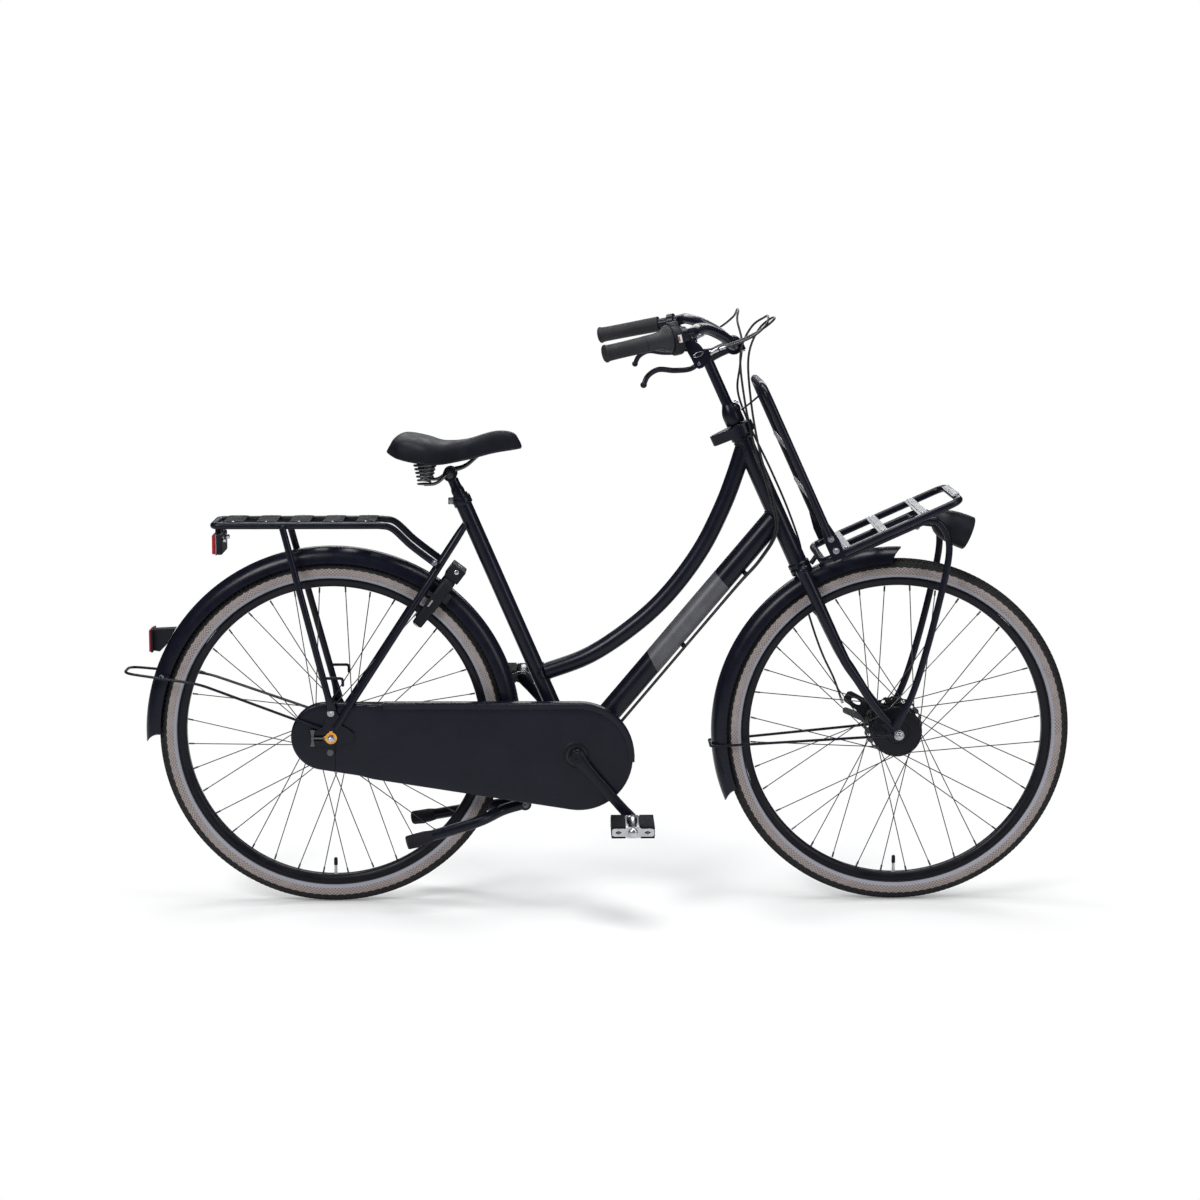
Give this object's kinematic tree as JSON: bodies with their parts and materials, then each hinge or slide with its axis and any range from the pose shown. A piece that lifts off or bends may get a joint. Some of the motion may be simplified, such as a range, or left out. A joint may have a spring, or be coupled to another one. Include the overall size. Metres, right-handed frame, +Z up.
{
  "type": "dutch city bicycle",
  "caption": "Step-through city bicycle with swan-neck frame, closed chain case, front and rear carriers and a folded double-leg stand.",
  "frame": {"origin": "middle of the footprint of the whole object, on the ground the tyres stand on", "axes": "+X forward, +Y to the rider's left, +Z up"},
  "size_m": [1.9446, 0.6394, 1.2222],
  "materials": {
    "frame": "satin black-blue paint",
    "rubber": "matt black rubber",
    "tyre": "grey-brown sidewall with black tread",
    "rim": "satin black",
    "steel": "plain steel",
    "dark_steel": "dark steel",
    "leather": "grained black cover",
    "yellow": "yellow plated",
    "red": "red lens",
    "cable": "black cable cover"
  },
  "bodies": {
    "frame": {"frame_head_tube": "frame", "frame_down_tube": "frame", "frame_top_tube": "frame", "frame_seat_tube": "frame", "frame_rear_right": "frame", "frame_rear_left": "frame", "rear_axle": "steel", "axle_washer": "yellow", "chain_case": "frame", "chain_case_cap": "frame", "chain": "dark_steel", "rear_fender": "frame", "rear_fender_stay": "frame", "rear_reflector": "red", "seat_post": "frame", "saddle_rails": "dark_steel", "saddle_pad": "leather", "saddle_spring_right": "dark_steel", "saddle_spring_left": "dark_steel", "rear_carrier": "frame", "rear_lamp": "red", "ring_lock": "frame", "rear_brake_cable": "cable", "shift_cable": "cable"},
    "rear_wheel": {"rear_tyre": "tyre", "rear_rim": "rim", "rear_spokes": "dark_steel", "rear_hub": "rim"},
    "sprocket": {"rear_sprocket": "dark_steel"},
    "front_end": {"fork": "frame", "handlebar": "frame", "stem": "frame", "grip_right": "rubber", "grip_left": "rubber", "shifter_body": "rubber", "brake_perch_right": "frame", "brake_perch_left": "frame", "front_carrier_deck": "frame", "front_carrier_back": "frame", "front_carrier_legs": "frame", "headlamp": "frame", "front_fender": "frame", "front_fender_stay": "frame", "front_axle": "dark_steel", "front_brake_cable": "cable"},
    "front_wheel": {"front_tyre": "tyre", "front_rim": "rim", "front_spokes": "dark_steel", "front_hub": "rim"},
    "cranks": {"crank_right": "frame", "crank_left": "frame"},
    "right_pedal": {"pedal_right": "rubber"},
    "left_pedal": {"pedal_left": "rubber"},
    "stand": {"stand": "rubber"},
    "right_brake_lever": {"brake_lever_right": "frame"},
    "left_brake_lever": {"brake_lever_left": "frame"},
    "front_arm": {"front_brake_arm": "dark_steel"},
    "rear_arm": {"rear_brake_arm": "dark_steel"},
    "shift_sleeve": {"shifter_sleeve": "rubber"},
    "lock_knob": {"ring_lock_knob": "rubber"}
  },
  "joints": [
    {"name": "steering", "type": "hinge", "parent": "frame", "child": "front_end", "pos_m": [0.35289, 0, 0.83246], "axis": [-0.4115, 0, 0.9114], "range_deg": [-60, 60], "deforming": ["rear_brake_cable", "shift_cable"]},
    {"name": "rear_wheel_spin", "type": "hinge", "parent": "frame", "child": "rear_wheel", "pos_m": [-0.54571, 0, 0.358], "axis": [0, 1, 0], "continuous": true},
    {"name": "front_wheel_spin", "type": "hinge", "parent": "front_end", "child": "front_wheel", "pos_m": [0.61429, 0, 0.358], "axis": [0, 1, 0], "continuous": true},
    {"name": "crank_spin", "type": "hinge", "parent": "frame", "child": "cranks", "pos_m": [-0.04571, 0, 0.321], "axis": [0, 1, 0], "continuous": true},
    {"name": "sprocket_spin", "type": "hinge", "parent": "frame", "child": "sprocket", "pos_m": [-0.54571, -0.047, 0.358], "axis": [0, 1, 0], "continuous": true},
    {"name": "right_pedal_spin", "type": "hinge", "parent": "cranks", "child": "right_pedal", "pos_m": [0.06627, -0.152, 0.19309], "axis": [0, 1, 0], "continuous": true},
    {"name": "left_pedal_spin", "type": "hinge", "parent": "cranks", "child": "left_pedal", "pos_m": [-0.15768, 0.152, 0.44891], "axis": [0, 1, 0], "continuous": true},
    {"name": "stand_swing", "type": "hinge", "parent": "frame", "child": "stand", "pos_m": [-0.15171, 0, 0.209], "axis": [0, -1, 0], "range_deg": [0, 88]},
    {"name": "right_lever_squeeze", "type": "hinge", "parent": "front_end", "child": "right_brake_lever", "pos_m": [0.18994, -0.25212, 1.13423], "axis": [0, 1, 0], "range_deg": [0, 14], "stiffness_Nm_per_rad": 1.2, "springref_deg": -17.19},
    {"name": "left_lever_squeeze", "type": "hinge", "parent": "front_end", "child": "left_brake_lever", "pos_m": [0.18994, 0.25212, 1.13423], "axis": [0, 1, 0], "range_deg": [0, 14], "stiffness_Nm_per_rad": 1.2, "springref_deg": -17.19},
    {"name": "front_arm_pull", "type": "hinge", "parent": "front_end", "child": "front_arm", "pos_m": [0.58829, 0.04, 0.358], "axis": [0, 1, 0], "range_deg": [0, 7]},
    {"name": "rear_arm_pull", "type": "hinge", "parent": "frame", "child": "rear_arm", "pos_m": [-0.51971, 0.047, 0.358], "axis": [0, -1, 0], "range_deg": [0, 7]},
    {"name": "shift_twist", "type": "hinge", "parent": "front_end", "child": "shift_sleeve", "pos_m": [0.11028, -0.26854, 1.17794], "axis": [-0.929, -0.3133, -0.1971], "range_deg": [-40, 40]},
    {"name": "lock_slide", "type": "slide", "parent": "frame", "child": "lock_knob", "axis": [-0.6074, 0, -0.7944], "range_m": [0, 0.04]}
  ],
  "couplings": [
    {"joint": "sprocket_spin", "follows": "crank_spin", "ratio": 2.1111},
    {"joint": "front_arm_pull", "follows": "left_lever_squeeze", "ratio": 0.4},
    {"joint": "rear_arm_pull", "follows": "right_lever_squeeze", "ratio": 0.4}
  ]
}
